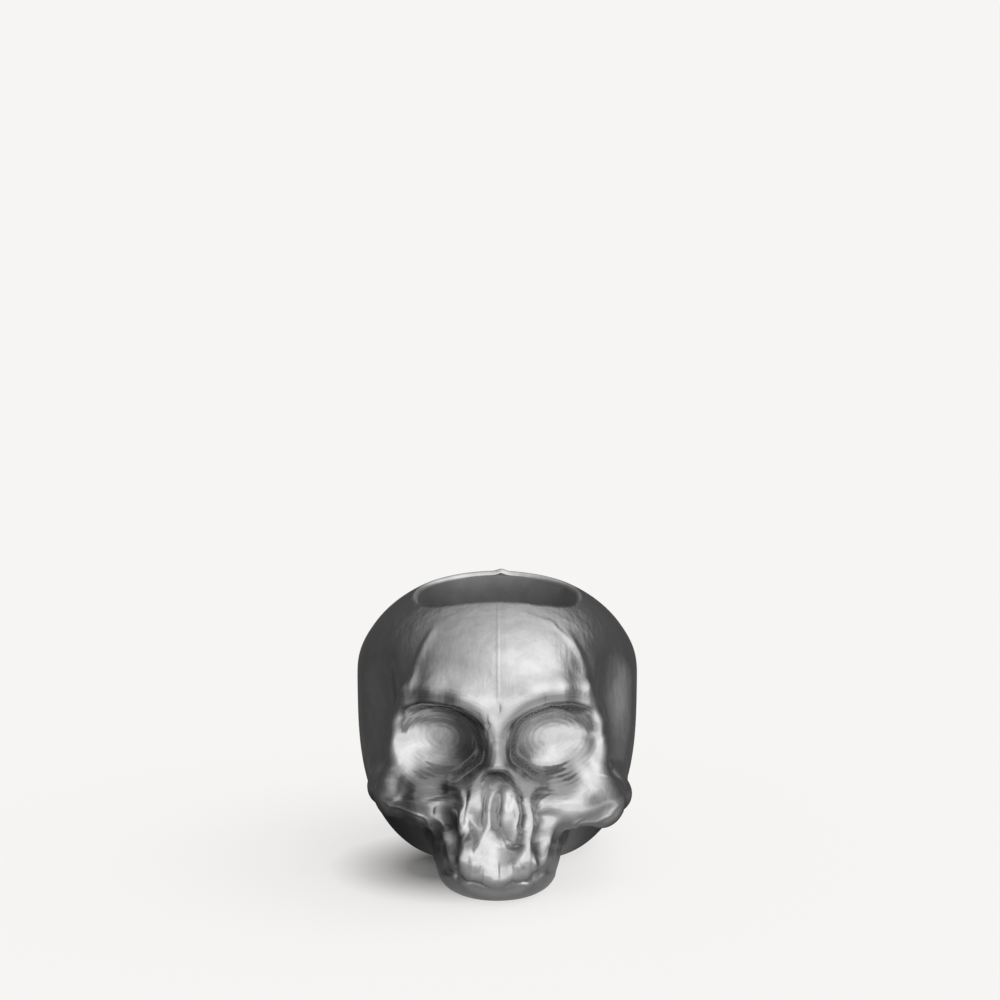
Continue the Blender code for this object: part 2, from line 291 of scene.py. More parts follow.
# Lines pressed into the face or raised on it, laid out on a plane that leans back with the face: points across
# and up, half of the line's width and its height, where less than 0 is a groove, all in mm.
lines = {
    # forehead, brow and the rims of the sockets
    "foreheadBand": (((-14.3, 58.5), (-5.8, 60.1), (7.0, 60.1), (17.9, 58.2)), 3.6, -0.45),
    "glabella": (((-3.3, 47.2), (-3.0, 43.6), (-2.1, 42.4)), 0.5, -0.38),
    "frown": (((0.6, 50.1), (0.6, 47.3)), 0.4, -0.22),
    "frownLow": (((-0.8, 46.4), (-0.8, 44.5)), 0.35, -0.16),
    "browLeft": (((-16.7, 51.1), (-13.4, 50.8)), 0.7, -0.28),
    "browLeftEdge": (((-19.4, 49.5), (-16.4, 49.8), (-13.4, 49.5)), 0.35, 0.22),
    "browRight": (((14.3, 50.8), (17.6, 50.4)), 0.7, -0.22),
    "rimLeft": (((-24.6, 47.0), (-22.8, 48.0), (-19.1, 48.9), (-13.1, 48.6), (-9.7, 48.3), (-6.1, 46.6),
                 (-3.9, 44.2)), 0.5, -0.26),
    "rimRight": (((2.7, 43.9), (4.2, 45.8), (7.0, 47.3), (10.0, 48.9), (13.7, 49.8), (16.7, 48.9),
                  (20.0, 48.1), (25.5, 45.9)), 0.5, -0.26),
    # nose
    "noseSideLeft": (((-3.7, 43.0), (-3.8, 39.6), (-3.6, 35.5)), 0.34, 0.16),
    "noseSideRight": (((3.7, 43.9), (3.9, 40.5), (3.7, 36.4)), 0.34, 0.14),
    "bridge": (((-2.4, 39.2), (2.7, 39.2)), 1.7, -0.45),
    "septum": (((-2.7, 21.8), (-2.7, 16.5), (-2.1, 11.9), (-4.2, 8.1), (-6.4, 4.4), (-7.3, -0.6)), 1, -0.38),
    "notch": (((3.9, 21.8), (3.9, 16.2)), 0.6, -0.3),
    "nostrilFill": (((7.3, 21.2), (8.2, 15.0), (7.6, 9.4)), 1.6, 0.8),
    "flankFill": (((-12.1, 20.6), (-12.4, 10.6), (-11.8, 3.8)), 1.4, 0.25),
    "wingLeft": (((-9.4, 23.1), (-9.7, 18.1), (-10.6, 11.9)), 1, -0.9),
    "foldHigh": (((0.6, 11.3), (1.7, 8.0), (4.6, 5.8), (8.5, 5.8)), 0.45, -0.16),
    "foldLow": (((0.9, 8.8), (2.9, 4.4), (6.4, 2.9)), 0.45, -0.14),
    "nick": (((6.7, 0.4), (7.9, -2.7)), 0.35, -0.1),
    # upper jaw and teeth
    "jawRoundLeft": (((-17.3, 6.9), (-15.5, -4.9)), 2.6, -0.9),
    "jawRoundRight": (((18.2, 5.7), (16.4, -4.9)), 2.4, -0.7),
    "jawRight": (((12.1, 18.1), (11.8, 11.9), (10.9, 7.1), (10.9, 0.7), (10.6, -5.2)), 0.6, -0.42),
    "ridgeLeft": (((-7.9, 10.9), (-11.2, 6.0), (-11.2, -0.6)), 0.6, 0.36),
    "rootLeft": (((-7.3, 1.0), (-7.3, -4.9)), 0.9, 0.3),
    "rootGap": (((-8.5, 8.1), (-8.8, 0.1)), 1, -0.4),
    "rootMiddle": (((-2.4, 6.6), (-2.7, -5.5)), 1.6, 0.34),
    "rootRight": (((12.0, 0.4), (12.0, -4.9)), 0.6, 0.22),
    "scoopFill": (((-8.8, 1.3), (0.0, 0.4), (8.8, 1.3)), 3, 0.6),
    "bandFill": (((-11.8, -4.9), (-6.4, -6.2), (0.0, -6.8), (6.4, -6.2), (11.5, -4.9)), 3.4, 1.3),
    "biteLeft": (((-13.1, -4.0), (-9.4, -5.8), (-7.0, -5.2), (-5.2, -5.8), (-2.1, -7.1)), 0.5, -0.5),
    "biteRight": (((1.8, -6.8), (4.6, -5.5), (7.9, -5.5), (9.7, -6.2)), 0.5, -0.5),
    "toothFirst": (((-12.1, -0.6), (-12.4, -5.5)), 0.5, -0.3),
    "toothSecond": (((-4.9, -0.6), (-4.6, -6.2)), 0.5, -0.3),
    "toothThird": (((0.2, 0.1), (0.3, -6.8)), 0.45, -0.24),
    "toothFourth": (((4.6, -0.6), (4.6, -6.2)), 0.5, -0.28),
    "toothFifth": (((8.2, -1.2), (7.9, -6.2)), 0.5, -0.28),
    # cheeks
    "cheekSide": (((-31.6, 28.1), (-31.0, 19.3)), 3, -1.2),
    "cheekStepLeft": (((-30.0, 22.5), (-21.9, 23.1), (-14.9, 23.7)), 1.8, -1),
    "cheekHollowLeft": (((-18.2, 20.9), (-17.6, 15.0), (-16.4, 9.4)), 3, -1.8),
    "cheekHollowRight": (((14.6, 16.2), (15.5, 10.0), (14.6, 4.4)), 2.4, -0.5),
    "cheekUnderLeft": (((-33.1, 17.5), (-27.9, 15.0), (-20.3, 13.1)), 5.2, -2),
    "cheekUnderRight": (((37.3, 17.8), (31.3, 14.1), (23.7, 11.6)), 2.4, -0.8),
    "cheekRollLeft": (((-35.2, 19.3), (-31.9, 16.2), (-26.4, 14.1), (-21.5, 12.5), (-19.7, 8.1)), 0.38, 0.3),
    "cheekRollRight": (((38.2, 18.7), (35.2, 14.4), (31.0, 12.2), (25.5, 11.6), (21.9, 9.1)), 0.36, 0.26),
    "creaseRight": (((12.4, 18.4), (14.6, 20.3), (16.5, 21.3), (21.2, 20.1)), 0.5, -0.34),
    "creaseOuter": (((20.9, 22.6), (25.8, 22.9)), 0.4, -0.22),
    "hookLeft": (((-17.9, 6.6), (-17.9, 1.6)), 0.34, 0.24),
    "hookRight": (((20.9, 2.9), (21.9, 9.4), (22.8, 11.6), (27.0, 13.4)), 0.34, 0.24),
    "hookInner": (((18.5, 0.7), (19.1, 7.2)), 0.34, 0.22),
    "knobTopLeft": (((-31.6, 29.9), (-35.2, 28.4), (-37.9, 26.5)), 0.36, 0.22),
    "knobTopRight": (((29.4, 27.4), (34.9, 26.5), (39.5, 24.6)), 0.36, 0.26),
    "archRight": (((34.6, 31.8), (36.1, 30.8), (35.5, 29.6)), 0.4, 0.25),
    # temples
    "templeEdgeLeft": (((-18.5, 75.3), (-22.2, 69.1), (-24.9, 62.3), (-26.1, 55.4)), 1.2, 0.42),
    "templeEdgeRight": (((20.9, 73.5), (24.9, 67.2), (27.3, 60.4), (28.5, 53.6)), 1.2, 0.42),
    "templeLeft": (((-26.7, 54.8), (-25.8, 58.5)), 0.36, 0.22),
    "templeFold": (((-26.4, 50.8), (-24.0, 54.5), (-22.2, 55.7)), 0.36, 0.22),
    "templeFoldLow": (((-22.2, 55.4), (-18.8, 57.6)), 0.45, -0.2),
    "templeRight": (((33.1, 38.0), (34.6, 44.8), (32.2, 52.3)), 0.6, 0.3),
    # glaze gathered below the opening
    "glintLeft": (((-12.7, 79.7), (-7.6, 79.1)), 0.4, 0.13),
    "glintLow": (((-15.8, 78.1), (-9.7, 77.8)), 0.4, 0.13),
    "glintRight": (((5.5, 79.4), (10.3, 79.1)), 0.4, 0.13),
    "glintArc": (((8.8, 79.1), (17.0, 75.9), (22.8, 69.7)), 0.5, 0.16),
}
faceLean = 0.287               # how far the plane leans: up = height + lean * depth
faceFrom = 6.0                 # mm in front of the middle of the skull, where the lines start to show
faceRun = 12.0                 # and over which they come in
seam = {                       # where the two halves of the mould meet, all in mm
    "x": 0.3,
    "halfWidth": 0.4,
    "height": 0.10,
    "domeFrom": 58.0,          # level where it starts over the dome
    "domeRun": 6.0,
    "backRun": 10.0,           # and how soon it shows behind the middle
    "knobX": 1.3,              # a drop of flash left on the rear rim
    "knobHalfWidth": 1.5,
    "knobHeight": 0.75,
    "knobFrom": (20.0, 80.0),  # how far back and how high it starts
    "knobRun": (6.0, 5.0),
}


def lineHeight(u, v, points, half, rise):
    # rise * exp(-(d / half)^2), where d is the distance to the line, eased to 0 over its end quarters
    points = np.array(points)
    near = np.full(u.shape, 1e6)
    along = np.zeros(u.shape)
    for n, (a, b) in enumerate(zip(points, points[1:])):
        run = b - a
        t = np.clip(((u - a[0]) * run[0] + (v - a[1]) * run[1]) / (run @ run), 0.0, 1.0)
        square = (u - a[0] - run[0] * t) ** 2 + (v - a[1] - run[1] * t) ** 2
        along = np.where(square < near, (n + t) / (len(points) - 1), along)
        near = np.minimum(near, square)
    ends = smooth(4.0 * np.minimum(along, 1.0 - along) + 0.25)
    return rise * ends * np.exp(-near / half**2)


def shapeDetail(rows):
    # the face's lines and the mould's seam, h exp(-(distance / half width)^2), pushed out along the slope, and
    # the drop of flash, pushed straight up
    skin, out = backToSkin(rows)
    x, y, z = 1000.0 * np.moveaxis(skin, -1, 0)
    height = np.zeros(x.shape)
    for points, half, rise in lines.values():
        height += lineHeight(x, z + faceLean * y, points, half, rise)
    height *= smooth((-y - faceFrom) / faceRun)
    offLine = (x - seam["x"]) / seam["halfWidth"]
    shown = np.maximum(smooth((z - seam["domeFrom"]) / seam["domeRun"]), smooth(y / seam["backRun"]))
    height += seam["height"] * np.exp(-offLine**2) * shown
    offKnob = (x - seam["knobX"]) / seam["knobHalfWidth"]
    back, up = (smooth((c - low) / run) for c, low, run in zip((y, z), seam["knobFrom"], seam["knobRun"]))
    knob = seam["knobHeight"] * np.exp(-offKnob**2) * up * back
    moved = skin + out * height[..., None] / 1000.0
    moved[-1] = skin[-1]                 # the rim keeps its outline
    moved[..., 2] += knob / 1000.0
    return moved


def skullRings():
    # the skin up to the rim, then a quarter round, a wall that narrows evenly and a round corner at the floor
    rows = cutFiner(coarseSkin(), grid["finer"])
    print("coarse skin cut to", rows.shape[0], "rows of", rows.shape[1])
    out, outline, level = rimOf(rows.shape[1])
    rows[-1] = ringAt(out, outline + opening["lipRadius"], level)
    for _ in range(grid["settled"]):
        rows[:-1] = backToSkin(rows[:-1])[0]
    rows = shapeDetail(evenOut(rows, grid["evenedFiner"]))
    rows[rows[..., 2] < grid["flat"], 2] = 0.0
    rings = list(rows)
    lip = opening["lipRadius"]
    rim = rows[-1, :, 2]
    for n in range(1, grid["lipRows"] + 1):
        a = 0.5 * math.pi * n / grid["lipRows"]
        rings.append(ringAt(out, outline + lip * (1 - math.sin(a)), rim - lip * (1 - math.cos(a))))
    wallFoot = opening["floor"] + opening["cornerRadius"]
    for n in range(1, grid["wallRows"] + 1):
        s = n / grid["wallRows"]
        inwards = outline * (1 - s + s * opening["floorShare"])
        rings.append(ringAt(out, inwards, (rim - lip) * (1 - s) + wallFoot * s))
    for n in range(1, grid["cornerRows"] + 1):
        a = 0.5 * math.pi * n / grid["cornerRows"]
        radius = outline * opening["floorShare"] - opening["cornerRadius"] * (1 - math.cos(a))
        rings.append(ringAt(out, radius, wallFoot - opening["cornerRadius"] * math.sin(a)))
    return np.array(rings)


def closedMesh(name, rings, first, final):
    # rings of points joined by quads, with one point closing each end
    rows, columns = rings.shape[:2]
    points = np.vstack(([first], rings.reshape(-1, 3), [final]))
    here = np.arange(columns)
    beside = (here + 1) % columns
    base = 1 + np.arange(rows - 1)[:, None] * columns
    quads = np.stack((base + here, base + beside, base + columns + beside, base + columns + here), axis=-1)
    last = len(points) - 1
    below = np.column_stack((np.zeros(columns, int), 1 + beside, 1 + here))
    above = np.column_stack((last - columns + here, last - columns + beside, np.full(columns, last)))
    fans = np.vstack((below, above))
    mesh = bpy.data.meshes.new(name)
    mesh.from_pydata(points, [], fans.tolist() + quads.reshape(-1, 4).tolist())
    mesh.update()
    mesh.shade_smooth()
    return mesh


def buildSkull():
    # the rings are moved so that the origin is under the middle of the skull, and closed at the base and the floor
    rings = skullRings()
    shift = np.array((0, frameShift, 0))
    centre = np.array((0, opening["centreY"], 0)) + shift
    mesh = closedMesh("skull", rings + shift, centre, centre + (0, 0, opening["floor"]))
    skull = bpy.data.objects.new("skull", mesh)
    bpy.context.scene.collection.objects.link(skull)
    print("skull", len(mesh.vertices), "points")
    return skull


def hexColour(code):
    # sRGB hex to linear: c / 12.92 below 0.04, ((c + 0.055) / 1.055)^2.4 above
    values = [int(code[i:i + 2], 16) / 255 for i in (1, 3, 5)]
    return tuple(v / 12.92 if v <= 0.04045 else ((v + 0.055) / 1.055) ** 2.4 for v in values) + (1.0,)


def addNode(tree, kind, settings=None, inputs=None, links=None):
    # one node with its settings, its fixed inputs and the sockets that feed it
    node = tree.nodes.new(kind)
    for key, value in (settings or {}).items():
        setattr(node, key, value)
    for key, value in (inputs or {}).items():
        node.inputs[key].default_value = value
    for key, source in (links or {}).items():
        tree.links.new(source, node.inputs[key])
    return node


lustre = {
    "colour": "#BCBCBC",       # silver greyed by the dark glaze under it
    "worn": "#B2B2B2",         # where the film is thinner
    "cloud": 6.0,              # how wide the thinner places are, mm
    "wornFrom": (0.40, 0.64),  # noise between which the film wears thin
    "roughFrom": (0.35, 0.68),   # and between which it roughens
    "roughness": 0.14,
    "roughest": 0.22,
    "dark": "#7E7E7E",         # painted shade: darker round the bright reflection patch in each socket and in the spots, where the skull lies in shade
    "patches": ((0.0155, 0.0385), (-0.0222, 0.0385)),   # m off the seam, and m up the leaning face
    "patchEdge": (0.0070, 0.0120),   # m from a patch's middle, from bright to dark
    "socketEdge": (0.0190, 0.0160),  # m from a socket's middle, from bright to dark
    "spots": (                 # m off the seam, m up the leaning face, m of reach
        (0.0, 0.0258, 0.0060),        # top of the nose
        (-0.0225, 0.0215, 0.0085),    # left cheek
        (-0.0088, 0.0060, 0.0045),    # beside the tooth roots
        (-0.0150, 0.0120, 0.0060),    # left side of the jaw
    ),
    "spotHeart": 0.35,         # share of the reach that is fully dark
    "frontFrom": (-0.020, -0.028),   # y where the dark places start, and where they are full
    "wellRoughness": 0.32,
    "wellFilm": 0.92,          # share of the well that the film still covers
    "wellEdge": (0.0262, 0.0275),   # m from the middle of the opening, over the lip
    "lipLevel": (0.0845, 0.0858),   # m up, where the lip turns over
    "wave": 9.0,               # slow unevenness of the moulded skin, mm across
    "waveHeight": 0.40,        # and mm high
    "streak": 1.3,             # brush marks over the brow, mm apart
    "streakHeight": 0.07,
    "streakFrom": (0.052, 0.064),   # m up, from where they are faint to where they are full
    "streakLeft": 0.25,        # share of them below that
    "ring": 1.4,               # tool marks round each socket, mm apart
    "ringHeight": 0.026,
    "ringEdge": (0.021, 0.017),     # m from a socket's middle, where they start and where they are full
    "pit": 0.45,               # pits and grains in the glaze, mm apart, coarser than real so that they show
    "pitHeight": 0.010,
}


def paintedShadeMask(tree, apart, away):
    # 1 where shade is painted: in the sockets past their bright reflection patches, or near a spot, on the front
    #                           of the skull; the places lie on the plane of the face, across and height + lean *
    #                           depth
    up = addNode(tree, "ShaderNodeMath", {"operation": "MULTIPLY_ADD"}, {1: faceLean},
                 {0: apart.outputs["Y"], 2: apart.outputs["Z"]})
    face = addNode(tree, "ShaderNodeCombineXYZ", {}, {}, {"X": apart.outputs["X"], "Z": up.outputs[0]})
    right, left = (addNode(tree, "ShaderNodeVectorMath", {"operation": "DISTANCE"}, {1: (side, 0, height)},
                           {0: face.outputs[0]}) for side, height in lustre["patches"])
    nearest = addNode(tree, "ShaderNodeMath", {"operation": "MINIMUM"}, {},
                      {0: right.outputs["Value"], 1: left.outputs["Value"]})
    past = addNode(tree, "ShaderNodeMapRange", {"interpolation_type": "SMOOTHSTEP"},
                   {"From Min": lustre["patchEdge"][0], "From Max": lustre["patchEdge"][1]},
                   {"Value": nearest.outputs[0]})
    socket = addNode(tree, "ShaderNodeMapRange", {"interpolation_type": "SMOOTHSTEP"},
                     {"From Min": lustre["socketEdge"][0], "From Max": lustre["socketEdge"][1]},
                     {"Value": away.outputs["Value"]})
    dark = addNode(tree, "ShaderNodeMath", {"operation": "MULTIPLY"}, {},
                   {0: past.outputs[0], 1: socket.outputs[0]})
    for side, height, reach in lustre["spots"]:
        gap = addNode(tree, "ShaderNodeVectorMath", {"operation": "DISTANCE"}, {1: (side, 0, height)},
                      {0: face.outputs[0]})
        near = addNode(tree, "ShaderNodeMapRange", {"interpolation_type": "SMOOTHSTEP"},
                       {"From Min": reach, "From Max": lustre["spotHeart"] * reach},
                       {"Value": gap.outputs["Value"]})
        dark = addNode(tree, "ShaderNodeMath", {"operation": "MAXIMUM"}, {},
                       {0: near.outputs[0], 1: dark.outputs[0]})
    front = addNode(tree, "ShaderNodeMapRange", {"interpolation_type": "SMOOTHSTEP"},
                    {"From Min": lustre["frontFrom"][0], "From Max": lustre["frontFrom"][1]},
                    {"Value": apart.outputs["Y"]})
    return addNode(tree, "ShaderNodeMath", {"operation": "MULTIPLY"}, {},
                   {0: front.outputs[0], 1: dark.outputs[0]})


def outsideWell(tree, place, apart):
    # 0 in the well, 1 past its lip or above it, by the distance from the middle of the opening
    off = addNode(tree, "ShaderNodeVectorMath", {"operation": "SUBTRACT"},
                  {1: (0, opening["centreY"] + frameShift, 0)}, {0: place.outputs["Object"]})
    level = addNode(tree, "ShaderNodeVectorMath", {"operation": "MULTIPLY"}, {1: (1, 1, 0)},
                    {0: off.outputs[0]})
    reach = addNode(tree, "ShaderNodeVectorMath", {"operation": "LENGTH"}, {}, {0: level.outputs[0]})
    past = addNode(tree, "ShaderNodeMapRange", {"interpolation_type": "SMOOTHSTEP"},
                   {"From Min": lustre["wellEdge"][0], "From Max": lustre["wellEdge"][1]},
                   {"Value": reach.outputs["Value"]})
    above = addNode(tree, "ShaderNodeMapRange", {"interpolation_type": "SMOOTHSTEP"},
                    {"From Min": lustre["lipLevel"][0], "From Max": lustre["lipLevel"][1]},
                    {"Value": apart.outputs["Z"]})
    return addNode(tree, "ShaderNodeMath", {"operation": "MAXIMUM"}, {},
                   {0: past.outputs[0], 1: above.outputs[0]})


def surfaceMarks(tree, place, apart, mirrored, orbit, away, outside):
    # bumps one over the other: slow waves, brush marks, rings round the sockets, then pits and grains
    wave = addNode(tree, "ShaderNodeTexNoise", {}, {"Scale": 1000 / lustre["wave"], "Detail": 3.0},
                   {"Vector": place.outputs["Object"]})
    skin = addNode(tree, "ShaderNodeBump", {}, {"Distance": lustre["waveHeight"] / 1000},
                   {"Height": wave.outputs[0], "Strength": outside.outputs[0]})
    # the brush marks are drawn long up the face and fanned a little
    tall = addNode(tree, "ShaderNodeMapping", {}, {"Scale": (1.0, 0.35, 0.10), "Rotation": (0, 0.12, 0)},
                   {"Vector": mirrored.outputs[0]})
    streak = addNode(tree, "ShaderNodeTexNoise", {}, {"Scale": 1000 / lustre["streak"], "Detail": 3.0},
                     {"Vector": tall.outputs[0]})
    high = addNode(tree, "ShaderNodeMapRange", {"interpolation_type": "SMOOTHSTEP"},
                   {"From Min": lustre["streakFrom"][0], "From Max": lustre["streakFrom"][1],
                    "To Min": lustre["streakLeft"]},
                   {"Value": apart.outputs["Z"]})
    brushed = addNode(tree, "ShaderNodeBump", {}, {"Distance": lustre["streakHeight"] / 1000},
                      {"Height": streak.outputs[0], "Strength": high.outputs[0], "Normal": skin.outputs[0]})
    # a ring for each 2 pi / 20 of the texture's own unit, so the scale makes up for that; depth counts for little
    # in the rings, and they are wider than tall
    flat = addNode(tree, "ShaderNodeVectorMath", {"operation": "MULTIPLY"}, {1: (1.0, 0.3, 1.25)},
                   {0: orbit.outputs[0]})
    rings = addNode(tree, "ShaderNodeTexWave", {"wave_type": "RINGS", "rings_direction": "SPHERICAL"},
                    {"Scale": 1000 / lustre["ring"] * 2 * math.pi / 20, "Distortion": 1.2, "Detail": 2.0,
                     "Detail Scale": 1.5},
                    {"Vector": flat.outputs[0]})
    inside = addNode(tree, "ShaderNodeMapRange", {"interpolation_type": "SMOOTHSTEP"},
                     {"From Min": lustre["ringEdge"][0], "From Max": lustre["ringEdge"][1]},
                     {"Value": away.outputs["Value"]})
    tooled = addNode(tree, "ShaderNodeBump", {}, {"Distance": lustre["ringHeight"] / 1000},
                     {"Height": rings.outputs[0], "Strength": inside.outputs[0],
                      "Normal": brushed.outputs[0]})
    grain = addNode(tree, "ShaderNodeTexNoise", {}, {"Scale": 1000 / lustre["pit"], "Detail": 2.0},
                    {"Vector": place.outputs["Object"]})
    return addNode(tree, "ShaderNodeBump", {}, {"Distance": lustre["pitHeight"] / 1000},
                   {"Height": grain.outputs[0], "Normal": tooled.outputs[0]})


def silverLustre():
    # silver lustre fired over a dark glaze on moulded ware: a thin mirror, satin from the skin under it, so
    # it shows broad soft reflections, broken by brush and tool marks
    material = bpy.data.materials.new("silver lustre")
    material.use_nodes = True
    tree = material.node_tree
    shader = tree.nodes["Principled BSDF"]
    place = addNode(tree, "ShaderNodeTexCoord")
    apart = addNode(tree, "ShaderNodeSeparateXYZ", {}, {}, {"Vector": place.outputs["Object"]})
    across = addNode(tree, "ShaderNodeMath", {"operation": "ABSOLUTE"}, {}, {0: apart.outputs["X"]})
    mirrored = addNode(tree, "ShaderNodeCombineXYZ", {}, {},
                       {"X": across.outputs[0], "Y": apart.outputs["Y"], "Z": apart.outputs["Z"]})
    x, y, z = hollows["orbit"][0]
    orbit = addNode(tree, "ShaderNodeVectorMath", {"operation": "SUBTRACT"}, {1: (x, y + frameShift, z)},
                    {0: mirrored.outputs[0]})
    away = addNode(tree, "ShaderNodeVectorMath", {"operation": "LENGTH"}, {}, {0: orbit.outputs[0]})
    cloud = addNode(tree, "ShaderNodeTexNoise", {},
                    {"Scale": 1000 / lustre["cloud"], "Detail": 4.0, "Roughness": 0.6},
                    {"Vector": place.outputs["Object"]})
    share = addNode(tree, "ShaderNodeMapRange", {"interpolation_type": "SMOOTHSTEP"},
                    {"From Min": lustre["wornFrom"][0], "From Max": lustre["wornFrom"][1]},
                    {"Value": cloud.outputs[0]})
    silver = addNode(tree, "ShaderNodeMix", {"data_type": "RGBA"},
                     {"A": hexColour(lustre["colour"]), "B": hexColour(lustre["worn"])},
                     {"Factor": share.outputs[0]})
    # painted shade: the darker grey goes where the painted shade mask is 1
    colour = addNode(tree, "ShaderNodeMix", {"data_type": "RGBA"}, {"B": hexColour(lustre["dark"])},
                     {"Factor": paintedShadeMask(tree, apart, away).outputs[0], "A": silver.outputs["Result"]})
    tree.links.new(colour.outputs["Result"], shader.inputs["Base Color"])
    # in the well the film is thin and dull, and the grey glaze shows through
    outside = outsideWell(tree, place, apart)
    film = addNode(tree, "ShaderNodeMapRange", {}, {"To Min": lustre["wellFilm"]},
                   {"Value": outside.outputs[0]})
    tree.links.new(film.outputs[0], shader.inputs["Metallic"])
    rough = addNode(tree, "ShaderNodeMapRange", {},
                    {"From Min": lustre["roughFrom"][0], "From Max": lustre["roughFrom"][1],
                     "To Min": lustre["roughness"], "To Max": lustre["roughest"]},
                    {"Value": cloud.outputs[0]})
    roughness = addNode(tree, "ShaderNodeMix", {"data_type": "FLOAT"}, {"A": lustre["wellRoughness"]},
                        {"Factor": outside.outputs[0], "B": rough.outputs[0]})
    tree.links.new(roughness.outputs["Result"], shader.inputs["Roughness"])
    marks = surfaceMarks(tree, place, apart, mirrored, orbit, away, outside)
    tree.links.new(marks.outputs[0], shader.inputs["Normal"])
    print("silver lustre ready")
    return material


studio = {
    "backdrop": "#F6F5F3",
    "table": "#F4F3F1",
    "sweep": 0.75,             # share of the backdrop's own white in the table, away from the skull's shadow; painted light that covers the sun's shadow there
    "shadeAt": (-0.018, -0.015, 0),   # middle of the shadow, m
    "shadeFrom": 0.010,        # the white's share rises from here
    "shadeTo": 0.036,          # to here
    "fill": 0.52,              # what the room gives the table
    "sunAzimuth": 95,          # degrees from the front, to the right
    "sunElevation": 55,
    "sunAngle": 70,            # degrees across, which softens the shadow
    "sunStrength": 1.95,
    "glow": 1.7,               # brightness that 1 stands for in the stops below
}
# Brightness seen in the lustre, by the cosine of the angle off each light's middle, as a share of the glow.
screen = {                     # pale screens round the table, brightest in front
    "azimuth": 18,
    "elevation": 0,
    "stops": ((-1, 0.05), (-0.31, 0.07), (0.1, 0.14), (0.45, 0.27), (0.7, 0.50), (0.88, 0.78), (1, 0.82)),
    "aboveTable": 1.25,        # how much brighter they are above the table than they look in it
    "aboveTo": 0.3,            # sine of the elevation where they are that bright
    "nearShare": 0.20,         # painted shade: what is left of them in the table close under the skull
    "nearFrom": 0.050,         # m from the skull's middle
    "nearTo": 0.120,
}
ceiling = {                    # a softbox overhead, on the right
    "azimuth": 60,
    "elevation": 45,
    "stops": ((-1, 0.12), (-0.14, 0.26), (0.12, 0.36), (0.37, 0.46), (0.65, 0.62), (0.85, 0.84), (1, 1.0)),
    "from": 15,                # elevation where it starts to show over the screens
    "full": 45,
}


def towards(azimuth, elevation):
    # unit vector (sin a cos e, -cos a cos e, sin e), the azimuth a turning from the front to the right
    a, e = math.radians(azimuth), math.radians(elevation)
    return Vector((math.sin(a) * math.cos(e), -math.cos(a) * math.cos(e), math.sin(e)))


def lightRamp(tree, direction, light):
    # unit direction . axis, run through the light's stops; one at elevation 0 reaches all the way up and down
    level = 0.0 if light["elevation"] == 0 else 1.0
    flat = addNode(tree, "ShaderNodeVectorMath", {"operation": "MULTIPLY"}, {1: (1, 1, level)},
                   {0: direction})
    unit = addNode(tree, "ShaderNodeVectorMath", {"operation": "NORMALIZE"}, {}, {0: flat.outputs[0]})
    dot = addNode(tree, "ShaderNodeVectorMath", {"operation": "DOT_PRODUCT"},
                  {1: towards(light["azimuth"], light["elevation"])}, {0: unit.outputs[0]})
    place = addNode(tree, "ShaderNodeMapRange", {}, {"From Min": -1, "From Max": 1},
                    {"Value": dot.outputs["Value"]})
    ramp = addNode(tree, "ShaderNodeValToRGB", {}, {}, {"Fac": place.outputs[0]})
    elements = ramp.color_ramp.elements
    elements.remove(elements[-1])
    for n, (cosine, value) in enumerate(light["stops"]):
        element = elements[0] if n == 0 else elements.new((cosine + 1) / 2)
        element.position = (cosine + 1) / 2
        element.color = (value, value, value, 1)
    return ramp.outputs["Color"]


